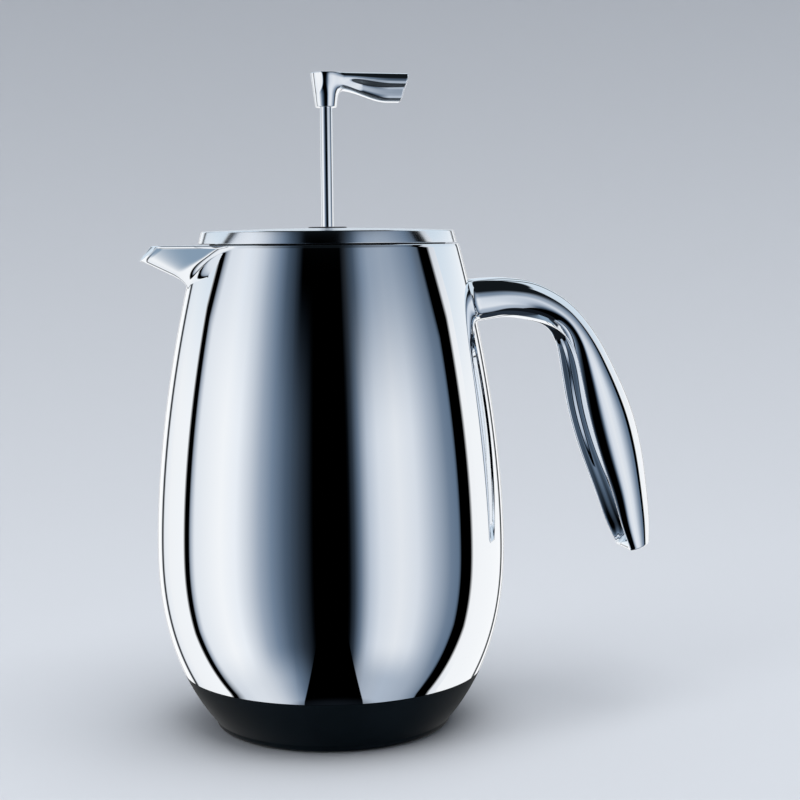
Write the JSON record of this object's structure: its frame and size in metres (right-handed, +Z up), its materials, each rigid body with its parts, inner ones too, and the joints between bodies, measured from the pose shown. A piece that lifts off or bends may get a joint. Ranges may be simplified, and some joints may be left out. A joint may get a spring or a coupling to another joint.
{
  "type": "french press",
  "caption": "Double-wall steel french press with an egg-shaped mirror-polished jug, V spout, cantilever handle, black base cover, turning lid and lever-knob plunger.",
  "frame": {"origin": "middle of the flat underside of the base cover", "axes": "+Z up along the jug and plunger axis, +X towards the handle, -X towards the spout"},
  "size_m": [0.1929, 0.1264, 0.2364],
  "materials": {
    "polished_steel": "mirror polished",
    "brushed_steel": "fine brushed",
    "filter_mesh": "woven wire",
    "base_rubber": "matte",
    "silicone": "satin",
    "lid_plastic": "moulded satin"
  },
  "bodies": {
    "vessel": {"outer_shell": "polished_steel", "inner_vessel": "brushed_steel", "bottom_plate": "brushed_steel", "base_cover": "base_rubber", "spout": "polished_steel", "handle_shell": "polished_steel", "handle_end_cap": "polished_steel", "handle_bracket": "brushed_steel"},
    "lid_seal": {"lid_gasket": "silicone"},
    "lid": {"lid_cover": "polished_steel", "lid_insert": "lid_plastic"},
    "rod_guide": {"rod_bush": "lid_plastic", "bush_retainer": "brushed_steel"},
    "plunger": {"plunger_rod": "polished_steel", "knob": "polished_steel", "knob_insert": "brushed_steel", "spiral_plate": "brushed_steel", "spring_coil": "brushed_steel", "filter_mesh": "filter_mesh", "cross_plate": "brushed_steel", "hub_nut": "brushed_steel", "hub_screw": "brushed_steel"}
  },
  "joints": [
    {"name": "lid_lift", "type": "slide", "parent": "vessel", "child": "lid_seal", "axis": [0, 0, 1], "range_m": [0, 0.18]},
    {"name": "lid_turn", "type": "hinge", "parent": "lid_seal", "child": "lid", "pos_m": [0, 0, 0.176], "axis": [0, 0, 1], "continuous": true},
    {"name": "plunger_turn", "type": "hinge", "parent": "lid", "child": "rod_guide", "pos_m": [0, 0, 0.176], "axis": [0, 0, 1], "continuous": true},
    {"name": "plunger_slide", "type": "slide", "parent": "rod_guide", "child": "plunger", "axis": [0, 0, 1], "range_m": [-0.041, 0.097]}
  ]
}
